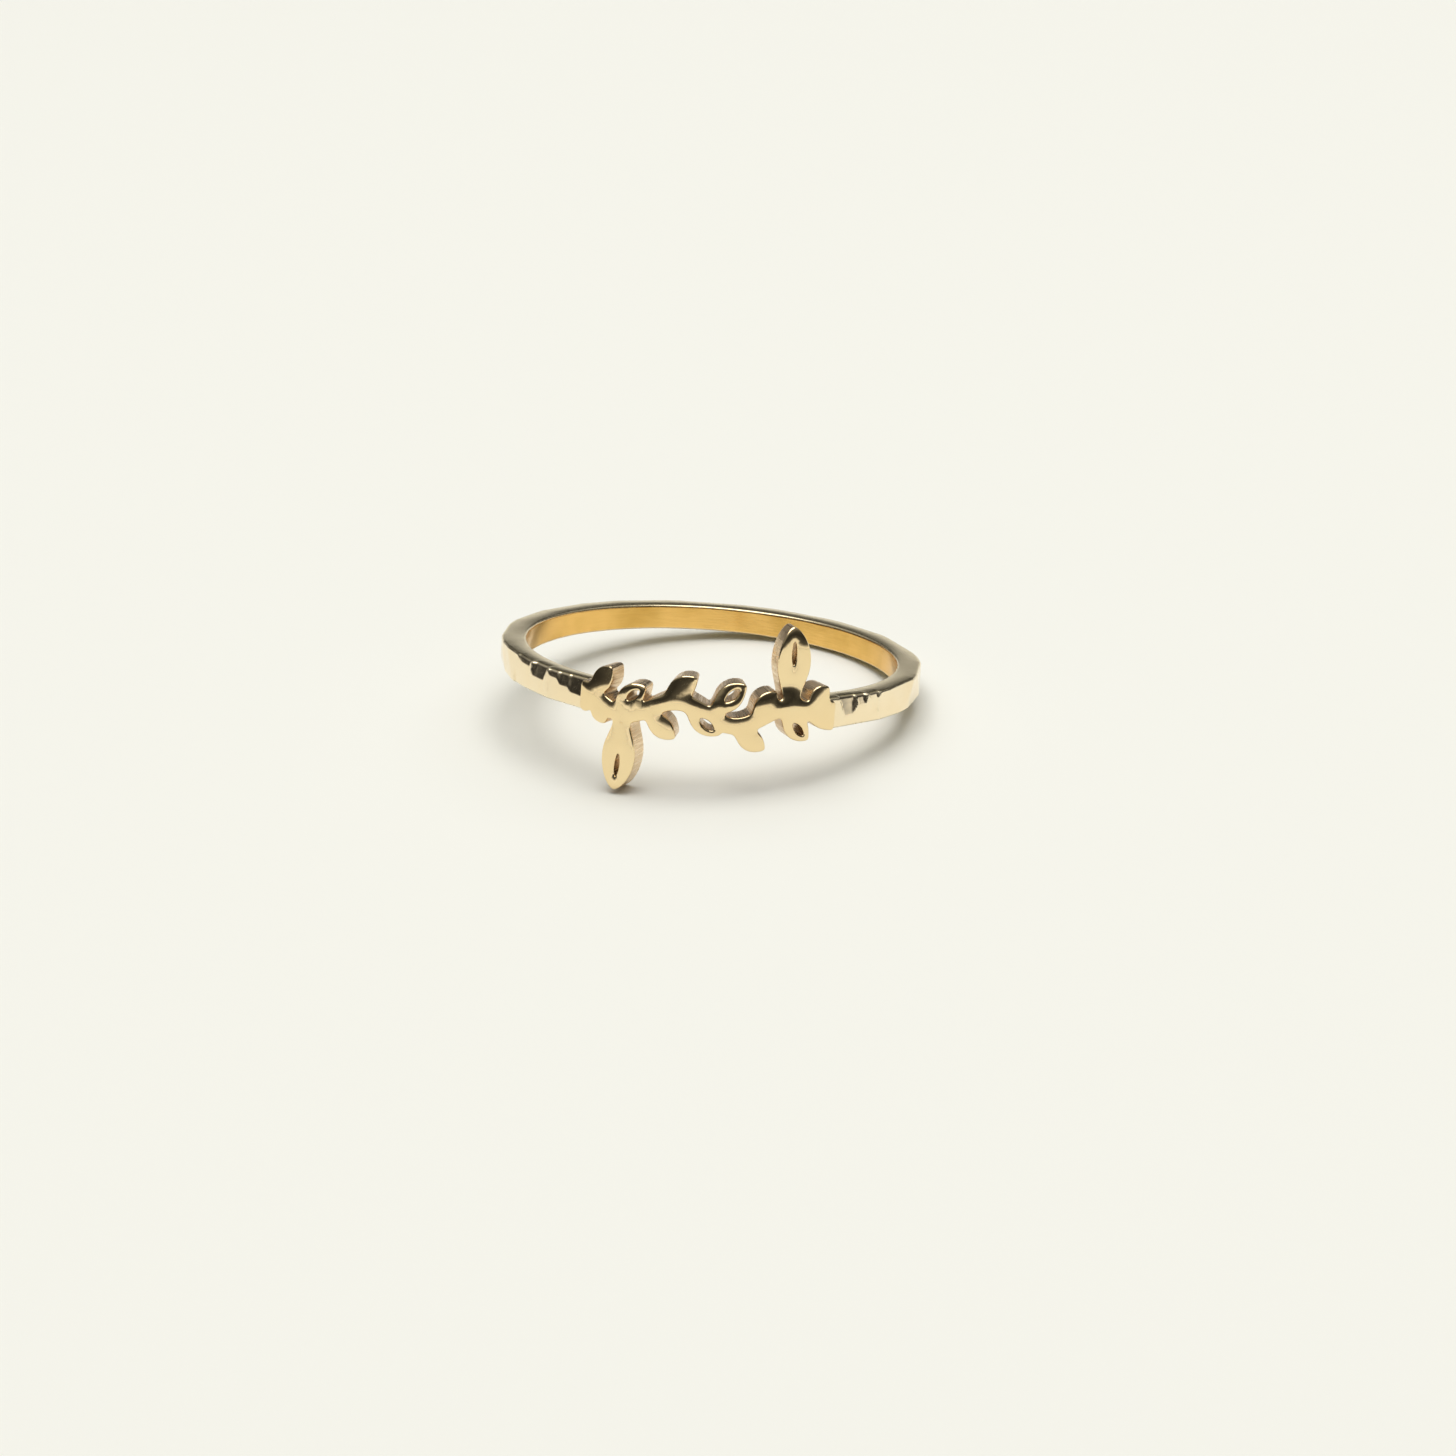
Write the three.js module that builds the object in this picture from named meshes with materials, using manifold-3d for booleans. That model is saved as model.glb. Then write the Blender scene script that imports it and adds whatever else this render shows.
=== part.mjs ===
// A stackable ring of yellow gold, lying on its side as it settles on a table.
// A hammered band goes round the back of the finger, and an openwork front of a leafy stem closes it.
// Both are one piece of metal. Millimetres, +Z up, with the front of the ring towards -Y.
import * as THREE from "three";
import { ConvexHull } from "three/addons/math/ConvexHull.js";
import { mergeVertices } from "three/addons/utils/BufferGeometryUtils.js";
import Module from "manifold-3d";

const wasm = await Module();
wasm.setup();

// Driving dimensions

const boreRadius = 8.65; // inside of the ring, a finger 17.3 mm across
const bandThickness = 1.15; // wall of the band, outwards from the bore
const bandHeightFront = 1.45; // along the finger, where the band meets the openwork
const bandHeightBack = 1.15; // along the finger, behind
const bandEdgeChamfer = 0.1; // broken edge of the band, all round
const hammerDepth = 0.06; // how far the hammered flats cut into the band
const hammerLeanDeg = 9; // the most that a flat leans up or down
const hammerFlats = 38; // flats round the full circle

const plateThickness = 1.35; // the openwork, outwards from the bore
const scrollLength = 12.5; // the openwork along its outer face, end to end
const endOverlap = 0.35; // how far the band runs on inside each end of the openwork
const endLip = 0.05; // how far the openwork's ends stand above and below the band
const endRound = 0.3; // rounded corners of the openwork's ends
const boreStep = 0.04; // the openwork's back lies this much outside the bore

const stemWidth = 0.78; // stroke of the stem
const stemSwing = 0.46; // how far the stem waves to each side
const stemWaves = 2.37; // waves from end to end
const lastCrest = 0.63; // place of the crest under the standing leaf, as a share of half the length

const leafLength = 2.2; // small leaf, from the stem's middle line to its tip
const leafWidth = 1.08; // small leaf at its widest
const leafNeck = 0.46; // leaf where it leaves the stem
const leafPoint = 1.75; // how pointed a small leaf's tip is: 1 is round, 2 is sharp
const bigLeafPoint = 1.3; // how pointed the tips of the standing and hanging leaf are
const tallLeafRise = 4.1; // tip of the standing leaf above the band's middle
const hangingLeafDrop = 4.05; // tip of the hanging leaf below the band's middle
const bigLeafWidth = 1.66; // standing and hanging leaf at their widest
const bigLeafNeck = 0.76;
const slitWidth = 0.22; // slit along the middle of a leaf
const broadestPlace = 0.54; // where a leaf is broadest, as a share of its length

// Small leaves: place as a share of half the openwork's length, heading in degrees from the way along
// the stem, length and width as shares of leafLength and leafWidth, bend in degrees over the length,
// and the width of its slit as a share of slitWidth, with 0 for none.
const smallLeaves = [
  { along: -0.91, heading: 62, length: 0.82, width: 1.0, bend: -10, slit: 0 },
  { along: -0.88, heading: -64, length: 0.6, width: 0.85, bend: 12, slit: 0 },
  { along: -0.7, heading: 52, length: 0.9, width: 1.05, bend: -18, slit: 1.6 },
  { along: -0.46, heading: -42, length: 0.86, width: 0.95, bend: 10, slit: 0 },
  { along: -0.33, heading: 48, length: 0.92, width: 1.0, bend: -14, slit: 0 },
  { along: -0.16, heading: -44, length: 0.98, width: 1.05, bend: 12, slit: 1.6 },
  { along: 0.02, heading: 50, length: 1.02, width: 1.05, bend: -14, slit: 1.6 },
  { along: 0.2, heading: -40, length: 0.86, width: 0.95, bend: 12, slit: 0 },
  { along: 0.34, heading: 58, length: 0.82, width: 0.95, bend: -12, slit: 0 },
  { along: 0.56, heading: -54, length: 0.94, width: 1.05, bend: 14, slit: 1.5 },
  { along: 0.77, heading: 50, length: 0.7, width: 0.92, bend: -12, slit: 0 },
];
const standingLeaf = { along: 0.63, heading: 87, bend: 5 };
const hangingLeaf = { along: -0.635, heading: -90, bend: -6 };
// Where the slits start and end, as shares of the leaf's length.
const bigSlit = { from: 0.5, to: 0.84 };
const smallSlit = { from: 0.42, to: 0.84 };
// Blows near the band's edges: place in degrees round from the front, lean up (+) or down (-) in
// degrees, how far below the edge they start, as a share of the band's height there, and their
// length, as a share of edgeBlowLength.
const edgeBlows = [
  { azimuth: -62, lean: 25, starts: 0.2, length: 1.2 },
  { azimuth: -53.6, lean: 19, starts: 0.46, length: 0.95 },
  { azimuth: -46.4, lean: 17, starts: 0.22, length: 0.8 },
  { azimuth: -42.4, lean: 16, starts: 0.4, length: 0.9 },
  { azimuth: -38.2, lean: 15, starts: 0.58, length: 1 },
  { azimuth: 41.4, lean: 15, starts: 0.66, length: 0.85 },
  { azimuth: 46, lean: 17, starts: 0.34, length: 0.5 },
  { azimuth: 51, lean: 14, starts: 0.2, length: 0.65 },
  { azimuth: -118, lean: -20, starts: 0.3, length: 1.2 },
  { azimuth: 152, lean: -18, starts: 0.26, length: 1.2 },
];
const edgeBlowLength = 1.4; // along the band

const bandSteps = 144; // round the full circle
const leafSteps = 16;
const stemSteps = 64;
const cornerSteps = 5;
const longestChord = 0.85; // along the openwork, so that it follows the finger's curve

// Values that follow from them

const bandRadius = boreRadius + bandThickness;
const plateRadius = boreRadius + plateThickness;
const halfLength = scrollLength / 2;
const halfAngle = halfLength / plateRadius;
const rad = THREE.MathUtils.degToRad;
const ease = (x) => (1 - Math.cos(Math.PI * THREE.MathUtils.clamp(x, 0, 1))) / 2;
const spread = (k, ratio) => ((k * ratio) % 1) - 0.5; // even scatter of the k-th item, -0.5 to 0.5

/** A closed three.js geometry as a manifold-3d solid. */
function solid(geometry) {
  const bare = geometry.clone();
  bare.deleteAttribute("normal");
  bare.deleteAttribute("uv");
  const merged = mergeVertices(bare, 1e-4);
  return new wasm.Manifold(
    new wasm.Mesh({
      numProp: 3,
      vertProperties: new Float32Array(merged.attributes.position.array),
      triVerts: new Uint32Array(merged.index.array),
    }),
  );
}

/** A manifold-3d solid as a three.js geometry. */
function geometryOf(body) {
  const mesh = body.getMesh();
  const geometry = new THREE.BufferGeometry();
  geometry.setAttribute("position", new THREE.BufferAttribute(mesh.vertProperties, 3));
  geometry.setIndex(new THREE.BufferAttribute(mesh.triVerts, 1));
  return geometry;
}

// Strokes of the openwork, drawn flat: x runs along the ring's outer face and y along the finger.
// A stroke is a list of stations { x, y, half }, with half its width at each.

/** The band's height along the finger: its two sides are flat and draw together towards the back. */
function bandHeight(azimuth, radius) {
  const towardsFront = (1 + (radius / bandRadius) * Math.cos(azimuth)) / 2;
  return THREE.MathUtils.lerp(bandHeightBack, bandHeightFront, towardsFront);
}

/** The stem's middle line at a share of half the openwork's length. It runs level into the band's ends. */
function stemPoint(along) {
  const fade = ease((1 - Math.abs(along)) / 0.22);
  const y = stemSwing * fade * Math.cos(Math.PI * stemWaves * (along - lastCrest));
  return { x: along * halfLength, y };
}

/** The stem with its width, which swells to the band's height at its two ends. */
function stemStroke() {
  const end = bandHeight(halfAngle, bandRadius) / 2 + endLip;
  const corner = endRound / halfLength;
  const gaps = Array.from({ length: cornerSteps }, (_, i) => {
    return corner * (1 - Math.cos((Math.PI * i) / (2 * cornerSteps)));
  });
  const between = Array.from({ length: stemSteps + 1 }, (_, i) => (1 - corner) * ((2 * i) / stemSteps - 1));
  const places = [...gaps.map((gap) => gap - 1), ...between, ...gaps.reverse().map((gap) => 1 - gap)];
  return places.map((along) => {
    const swelling = THREE.MathUtils.lerp(end, stemWidth / 2, ease((1 - Math.abs(along)) / 0.2));
    const inset = Math.max(0, endRound - (1 - Math.abs(along)) * halfLength);
    const half = swelling - endRound + Math.sqrt(endRound ** 2 - inset ** 2);
    return { ...stemPoint(along), half };
  });
}

/** The middle line of a leaf of the given length, from its place on the stem to its tip. */
function leafLine({ along, heading, bend }, length) {
  const line = [stemPoint(along)];
  for (let i = 0; i < leafSteps; i++) {
    const angle = rad(heading + (bend * (i + 0.5)) / leafSteps);
    const last = line[i];
    const step = length / leafSteps;
    line.push({ x: last.x + step * Math.cos(angle), y: last.y + step * Math.sin(angle) });
  }
  return line;
}

/** The middle line of a leaf whose tip reaches the given height above the band's middle, or below it. */
function leafLineTo(leaf, height) {
  const middle = rad(leaf.heading + leaf.bend / 2);
  return leafLine(leaf, (height - stemPoint(leaf.along).y) / Math.sin(middle));
}

/** The point at a share of a line's length. */
function pointOn(line, share) {
  const place = share * (line.length - 1);
  const k = Math.min(Math.floor(place), line.length - 2);
  const mix = (key) => THREE.MathUtils.lerp(line[k][key], line[k + 1][key], place - k);
  return { x: mix("x"), y: mix("y") };
}

/** Gives a leaf's line its width: a neck that swells to the broadest place, then a rounded tip. */
function leafStroke(line, neck, width, point) {
  return Array.from({ length: leafSteps + 1 }, (_, i) => {
    const swell = (2 * i) / leafSteps;
    if (swell <= 1) {
      const half = THREE.MathUtils.lerp(neck, width, ease(swell)) / 2;
      return { ...pointOn(line, broadestPlace * swell), half };
    }
    const turn = ((swell - 1) * Math.PI) / 2;
    const share = broadestPlace + (1 - broadestPlace) * Math.sin(turn);
    return { ...pointOn(line, share), half: (width / 2) * Math.cos(turn) ** point };
  });
}

/** A slit along part of a leaf's line, pointed at both ends. */
function slitStroke(line, { from, to }, width) {
  const steps = 10;
  return Array.from({ length: steps + 1 }, (_, i) => ({
    ...pointOn(line, THREE.MathUtils.lerp(from, to, i / steps)),
    half: (width / 2) * Math.sin((Math.PI * i) / steps) ** 0.8,
  }));
}

/** A stroke's outline, extruded between two distances from the finger's axis. */
function strokePlate(stations, inner, outer) {
  const side = (turn) =>
    stations.map((p, i) => {
      const before = stations[Math.max(i - 1, 0)];
      const after = stations[Math.min(i + 1, stations.length - 1)];
      const angle = Math.atan2(after.y - before.y, after.x - before.x) + turn;
      return new THREE.Vector2(p.x + p.half * Math.cos(angle), p.y + p.half * Math.sin(angle));
    });
  const outline = [...side(Math.PI / 2), ...side(-Math.PI / 2).reverse()];
  const apart = outline.filter((p, i) => p.distanceTo(outline[(i + 1) % outline.length]) > 1e-3);
  const depth = outer - inner;
  const geometry = new THREE.ExtrudeGeometry(new THREE.Shape(apart), { depth, bevelEnabled: false });
  return solid(geometry.translate(0, 0, inner));
}

/** The openwork as a flat plate: the stem and its leaves joined, and the slits cut through. */
function flatOpenwork() {
  const inner = boreRadius + boreStep;
  const past = plateThickness;
  const big = [leafLineTo(standingLeaf, tallLeafRise), leafLineTo(hangingLeaf, -hangingLeafDrop)];
  const small = smallLeaves.map((leaf) => ({ ...leaf, line: leafLine(leaf, leaf.length * leafLength) }));
  const strokes = [
    stemStroke(),
    ...big.map((line) => leafStroke(line, bigLeafNeck, bigLeafWidth, bigLeafPoint)),
    ...small.map((leaf) => leafStroke(leaf.line, leafNeck, leaf.width * leafWidth, leafPoint)),
  ];
  const slits = [
    ...big.map((line) => slitStroke(line, bigSlit, slitWidth)),
    ...small
      .filter((leaf) => leaf.slit > 0)
      .map((leaf) => slitStroke(leaf.line, smallSlit, leaf.slit * slitWidth)),
  ];
  const whole = strokes
    .map((stroke) => strokePlate(stroke, inner, plateRadius))
    .reduce((work, piece) => work.add(piece));
  const cut = slits
    .map((slit) => strokePlate(slit, inner - past, plateRadius + past))
    .reduce((work, piece) => work.subtract(piece), whole);
  return geometryOf(cut);
}

/** Halves every edge that is too long along x, the same way in both of its triangles, until none is. */
function splitLongEdges(geometry, longest) {
  const points = Array.from(geometry.attributes.position.array);
  let triangles = Array.from(geometry.index.array);
  const middles = new Map();
  const tooLong = (a, b) => Math.abs(points[3 * a] - points[3 * b]) > longest;
  const middle = (a, b) => {
    const key = a < b ? `${a},${b}` : `${b},${a}`;
    if (!middles.has(key)) {
      middles.set(key, points.length / 3);
      for (let k = 0; k < 3; k++) points.push((points[3 * a + k] + points[3 * b + k]) / 2);
    }
    return middles.get(key);
  };
  for (let done = false; !done; ) {
    done = true;
    const next = [];
    for (let t = 0; t < triangles.length; t += 3) {
      const corners = triangles.slice(t, t + 3);
      // Turn the triangle so that its longest edge along x, with ties settled by number, comes first.
      const span = (k) => Math.abs(points[3 * corners[k]] - points[3 * corners[(k + 1) % 3]]);
      const k = [0, 1, 2].reduce((best, i) => (span(i) > span(best) ? i : best), 0);
      const [a, b, c] = [corners[k], corners[(k + 1) % 3], corners[(k + 2) % 3]];
      if (!tooLong(a, b)) {
        next.push(a, b, c);
        continue;
      }
      done = false;
      const m = middle(a, b);
      next.push(a, m, c, m, b, c);
    }
    triangles = next;
  }
  const split = new THREE.BufferGeometry();
  split.setAttribute("position", new THREE.Float32BufferAttribute(points, 3));
  split.setIndex(triangles);
  return split;
}

/** Bends the flat openwork round the finger. */
function wrapRoundFinger(geometry) {
  const place = geometry.attributes.position;
  for (let i = 0; i < place.count; i++) {
    const azimuth = place.getX(i) / plateRadius;
    const along = place.getY(i);
    const radius = place.getZ(i);
    place.setXYZ(i, radius * Math.sin(azimuth), -radius * Math.cos(azimuth), along);
  }
  return geometry;
}

/** The hammered band's outer radius: the nearest of many flats laid against it, some near an edge. */
function hammeredRadius(azimuth, height) {
  const step = (2 * Math.PI) / hammerFlats;
  let radius = bandRadius;
  const nearest = Math.round(azimuth / step);
  for (let k = nearest - 2; k <= nearest + 2; k++) {
    const item = ((k % hammerFlats) + hammerFlats) % hammerFlats;
    const turn = azimuth - (k + 0.5 * spread(item, 0.618)) * step;
    const lean = rad(2 * hammerLeanDeg * spread(item, 0.4142));
    const depth = hammerDepth * (0.75 + 0.5 * spread(item, 0.7321));
    radius = Math.min(radius, (bandRadius - depth - height * Math.tan(lean)) / Math.cos(turn));
  }
  for (const blow of edgeBlows) {
    const away = Math.atan2(Math.sin(azimuth - rad(blow.azimuth)), Math.cos(azimuth - rad(blow.azimuth)));
    const within = 1 - Math.abs((2 * away * bandRadius) / (edgeBlowLength * blow.length));
    if (within <= 0) continue;
    const edge = bandHeight(azimuth, bandRadius) * (0.5 - blow.starts);
    const past = Math.sign(blow.lean) * height - edge;
    const cut = Math.max(past, 0) * Math.tan(rad(Math.abs(blow.lean))) * Math.min(1, 3 * within);
    radius = Math.min(radius, bandRadius - hammerDepth - cut);
  }
  return radius;
}

/** The band: a turned ring with its sides drawn together behind and its outside hammered, open in front. */
function band() {
  const c = bandEdgeChamfer;
  const rows = 5;
  // The section, with height as a share of the band's: inside, lower side, outside, upper side.
  const outside = Array.from({ length: rows }, (_, i) => new THREE.Vector2(bandRadius, i / (rows - 1) - 0.5));
  const section = [
    new THREE.Vector2(boreRadius, -0.5),
    new THREE.Vector2(bandRadius - c, -0.5),
    ...outside,
    new THREE.Vector2(bandRadius - c, 0.5),
    new THREE.Vector2(boreRadius, 0.5),
    new THREE.Vector2(boreRadius, -0.5),
  ];
  const geometry = new THREE.LatheGeometry(section, bandSteps);
  // A lathe turns about Y, so its points are laid out again about Z.
  const place = geometry.attributes.position;
  for (let i = 0; i < place.count; i++) {
    const share = place.getY(i);
    const azimuth = Math.atan2(place.getX(i), place.getZ(i));
    const turned = Math.hypot(place.getX(i), place.getZ(i));
    const height = bandHeight(azimuth, turned);
    const onOutside = turned > bandRadius - c / 2;
    const y = onOutside ? share * (height - 2 * c) : share * height;
    const radius = onOutside ? hammeredRadius(azimuth, y) : turned;
    place.setXYZ(i, radius * Math.sin(azimuth), -radius * Math.cos(azimuth), y);
  }
  return solid(geometry).subtract(frontSector());
}

/** The sector in front that the band leaves open, up to inside the ends of the openwork. */
function frontSector() {
  const half = halfAngle - endOverlap / plateRadius;
  const reach = 2 * plateRadius;
  const sector = new THREE.Shape();
  sector.moveTo(0, 0);
  sector.lineTo(-reach * Math.sin(half), -reach * Math.cos(half));
  sector.absarc(0, 0, reach, -Math.PI / 2 - half, -Math.PI / 2 + half, false);
  sector.lineTo(0, 0);
  const depth = 2 * bandHeightFront;
  const geometry = new THREE.ExtrudeGeometry(sector, { depth, bevelEnabled: false, curveSegments: 8 });
  return solid(geometry.translate(0, 0, -depth / 2));
}

/** The centre of mass of a closed geometry. */
function centreOfMass(geometry) {
  const place = geometry.attributes.position;
  const index = geometry.index;
  const corner = (i) => new THREE.Vector3().fromBufferAttribute(place, index.getX(i));
  const sum = new THREE.Vector3();
  let volume = 0;
  for (let t = 0; t < index.count; t += 3) {
    const [a, b, c] = [corner(t), corner(t + 1), corner(t + 2)];
    const part = a.dot(b.clone().cross(c)) / 6;
    volume += part;
    sum.addScaledVector(a.add(b).add(c), part / 4);
  }
  return sum.divideScalar(volume);
}

/** Lays a shape down: it tips onto the side of its hull below its centre of mass, until that side is level. */
function layDown(geometry) {
  const down = new THREE.Vector3(0, 0, -1);
  for (let turn = 0; turn < 5; turn++) {
    const place = geometry.attributes.position;
    const points = Array.from({ length: place.count }, (_, i) =>
      new THREE.Vector3().fromBufferAttribute(place, i),
    );
    const centre = centreOfMass(geometry);
    const reach = (side) => -side.distanceToPoint(centre) / side.normal.dot(down);
    const below = new ConvexHull()
      .setFromPoints(points)
      .faces.filter((side) => side.normal.dot(down) > 1e-6)
      .reduce((best, side) => (reach(side) < reach(best) ? side : best));
    geometry.applyQuaternion(new THREE.Quaternion().setFromUnitVectors(below.normal, down));
  }
  geometry.computeBoundingBox();
  const box = geometry.boundingBox;
  const middle = box.getCenter(new THREE.Vector3());
  return geometry.translate(-middle.x, -middle.y, -box.min.z);
}

/** The whole ring, one piece of polished yellow gold. */
function ring() {
  const openwork = wrapRoundFinger(splitLongEdges(flatOpenwork(), longestChord));
  const gold = new THREE.MeshStandardMaterial({ color: 0xf4d79d, roughness: 0.18, metalness: 1 });
  const mesh = new THREE.Mesh(layDown(geometryOf(band().add(solid(openwork)))), gold);
  mesh.name = "ring";
  return mesh;
}

const part = new THREE.Group();
part.name = "stackable_ring";
part.add(ring());

export default part;
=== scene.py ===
"""A narrow stackable ring of yellow gold, made up for a studio picture.

The ring is one soldered piece: a hammered band round the back of the finger, and an openwork front of a
leafy stem with one tall leaf standing and one hanging. It is drawn in millimetres round its own axis and
then laid down on its side, as it settles on a table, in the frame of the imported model.
"""

from __future__ import annotations

import logging
import math
from dataclasses import dataclass, field
from enum import Enum
from functools import partialmethod

import bpy
import numpy as np
from bpy.types import Material, Mesh, NodeOutputs, NodeSocket, NodeTree, Object
from mathutils import Matrix, Quaternion, Vector
from mathutils.geometry import delaunay_2d_cdt


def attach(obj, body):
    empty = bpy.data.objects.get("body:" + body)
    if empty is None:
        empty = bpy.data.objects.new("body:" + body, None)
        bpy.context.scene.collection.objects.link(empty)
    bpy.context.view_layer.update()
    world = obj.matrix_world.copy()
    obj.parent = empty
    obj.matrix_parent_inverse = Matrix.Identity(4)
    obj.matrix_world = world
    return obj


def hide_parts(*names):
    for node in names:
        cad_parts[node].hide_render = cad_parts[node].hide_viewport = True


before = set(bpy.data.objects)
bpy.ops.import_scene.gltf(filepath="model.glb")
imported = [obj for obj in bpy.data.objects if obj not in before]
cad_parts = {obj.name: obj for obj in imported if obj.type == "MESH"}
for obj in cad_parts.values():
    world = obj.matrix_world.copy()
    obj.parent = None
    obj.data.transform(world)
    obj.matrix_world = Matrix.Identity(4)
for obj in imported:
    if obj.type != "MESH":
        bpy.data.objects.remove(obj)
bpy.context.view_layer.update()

log = logging.getLogger("ring")
MM = 0.001
Points = np.ndarray
Value = object
Triple = tuple[float, float, float]


class Nodes:
    """Adds nodes to a tree and joins them, with a value or a socket for each input."""

    def __init__(self, tree: NodeTree) -> None:
        """Takes the tree to build in."""
        self.tree = tree

    def put(self, socket: NodeSocket, value: Value) -> None:
        """Links a socket, or gives it a plain value.

        Args:
            socket: the input to fill.
            value: an output to link, or a plain value.
        """
        if isinstance(value, NodeSocket):
            self.tree.links.new(value, socket)
        else:
            socket.default_value = value

    def add(self, kind: str, inputs: dict | None = None, **settings: object) -> bpy.types.Node:
        """Adds a node.

        Args:
            kind: the node's Blender type.
            inputs: what goes into its sockets, by name or place.
            **settings: its own properties, set before the sockets.

        Returns:
            The new node.
        """
        node = self.tree.nodes.new(kind)
        for name, value in settings.items():
            setattr(node, name, value)
        for key, value in (inputs or {}).items():
            self.put(node.inputs[key], value)
        return node

    def math(self, operation: str, *values: Value) -> NodeSocket:
        """Adds a Math node and returns its result."""
        return self.add("ShaderNodeMath", dict(enumerate(values)), operation=operation).outputs[0]

    times = partialmethod(math, "MULTIPLY")
    over = partialmethod(math, "DIVIDE")
    plus = partialmethod(math, "ADD")
    minus = partialmethod(math, "SUBTRACT")
    times_plus = partialmethod(math, "MULTIPLY_ADD")
    absolute = partialmethod(math, "ABSOLUTE")

    def combine(self, *values: Value) -> NodeSocket:
        """Puts three numbers together as a vector."""
        return self.add("ShaderNodeCombineXYZ", dict(enumerate(values))).outputs[0]

    def split(self, vector: NodeSocket) -> tuple[NodeSocket, ...]:
        """Takes a vector apart."""
        return tuple(self.add("ShaderNodeSeparateXYZ", {0: vector}).outputs)

    def remap(self, value: Value, low: float, high: float, to_low: Value, to_high: Value) -> NodeSocket:
        """Maps a number smoothly from one range to another, held at the ends.

        Args:
            value: the number.
            low: where the range starts.
            high: where the range ends.
            to_low: what low becomes.
            to_high: what high becomes.

        Returns:
            The socket with the result.
        """
        inputs = {"Value": value, "From Min": low, "From Max": high, "To Min": to_low, "To Max": to_high}
        return self.add("ShaderNodeMapRange", inputs, interpolation_type="SMOOTHSTEP").outputs["Result"]

    def level_dot(self, first: tuple[Value, Value], second: tuple[Value, Value]) -> NodeSocket:
        """Multiplies two level vectors, x with x and y with y, and adds."""
        return self.plus(*(self.times(a, b) for a, b in zip(first, second)))

    def moved(self, geometry: NodeSocket, place: NodeSocket) -> NodeSocket:
        """Gives a geometry's points new places and makes its instances real."""
        shaped = self.add("GeometryNodeSetPosition", {"Geometry": geometry, "Position": place})
        return self.add("GeometryNodeRealizeInstances", {"Geometry": shaped.outputs[0]}).outputs[0]

    def dressed(self, geometry: NodeSocket, finish: NodeSocket, chosen: Value = True) -> NodeSocket:
        """Gives the chosen faces of a geometry their finish."""
        inputs = {"Geometry": geometry, "Selection": chosen, "Material": finish}
        return self.add("GeometryNodeSetMaterial", inputs).outputs[0]


def new_group(
    name: str, inputs: dict[str, str], outputs: dict[str, str], kind: str = "GeometryNodeTree"
) -> tuple[Nodes, NodeOutputs]:
    """Starts a node group.

    Args:
        name: its name.
        inputs: the names and kinds of its inputs.
        outputs: the names and kinds of its outputs.
        kind: the kind of tree.

    Returns:
        The group's nodes, and the sockets of what it is given.
    """
    n = Nodes(bpy.data.node_groups.new(name, kind))
    for way, sockets in (("INPUT", inputs), ("OUTPUT", outputs)):
        for label, socket in sockets.items():
            n.tree.interface.new_socket(label, in_out=way, socket_type=f"NodeSocket{socket}")
    return n, n.add("NodeGroupInput").outputs


def floats(*names: str) -> dict[str, str]:
    """Names sockets that all hold a number."""
    return dict.fromkeys(names, "Float")


def run_tree(mesh: Mesh, tree: NodeTree, values: dict[str, Value]) -> Mesh:
    """Runs a geometry tree on a mesh.

    Args:
        mesh: the mesh that goes in.
        tree: the geometry tree.
        values: what goes into the tree's named inputs.

    Returns:
        The mesh that the tree makes, with its materials.
    """
    obj = mesh_object(tree.name, mesh)
    modifier = obj.modifiers.new(tree.name, "NODES")
    modifier.node_group = tree
    for item in tree.interface.items_tree:
        if item.item_type == "SOCKET" and item.in_out == "INPUT" and item.name in values:
            modifier[item.identifier] = values[item.name]
    made = applied_mesh(obj)
    obj.modifiers.remove(modifier)
    bpy.data.objects.remove(obj)
    log.info("%s: %d faces", tree.name, len(made.polygons))
    return made


def applied_mesh(obj: Object) -> Mesh:
    """Gives a new mesh of an object with its modifiers applied.

    Args:
        obj: the object.

    Returns:
        The new mesh.
    """
    bpy.context.view_layer.update()
    graph = bpy.context.evaluated_depsgraph_get()
    return bpy.data.meshes.new_from_object(
        obj.evaluated_get(graph), preserve_all_data_layers=True, depsgraph=graph
    )


def mesh_object(name: str, mesh: Mesh) -> Object:
    """Puts a mesh in the scene under a name.

    Args:
        name: the name.
        mesh: the mesh.

    Returns:
        The new object.
    """
    obj = bpy.data.objects.new(name, mesh)
    bpy.context.scene.collection.objects.link(obj)
    return obj


@dataclass(frozen=True)
class RestPose:
    """How the ring lies: the turn and shift that take its own axes to the table's, in millimetres."""

    turn: tuple[float, float, float, float] = (
        0.9956068762612785, -0.07680779330638597, 0.05354914405163557, 0.0,
    )
    shift: Triple = (0.004425048828125, 0.18068742752075195, 2.387336492538452)

    def matrix(self) -> Matrix:
        """Takes millimetres round the ring's axis to metres on the table."""
        place = Matrix.Translation(Vector(self.shift)) @ Quaternion(self.turn).to_matrix().to_4x4()
        return Matrix.Scale(MM, 4) @ place

    def centre(self) -> Vector:
        """The middle of the bore, in metres."""
        return Vector(self.shift) * MM

    def direction(self, vector: Triple) -> Vector:
        """Turns a direction of the ring's own to the table's."""
        return Quaternion(self.turn) @ Vector(vector)


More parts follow.
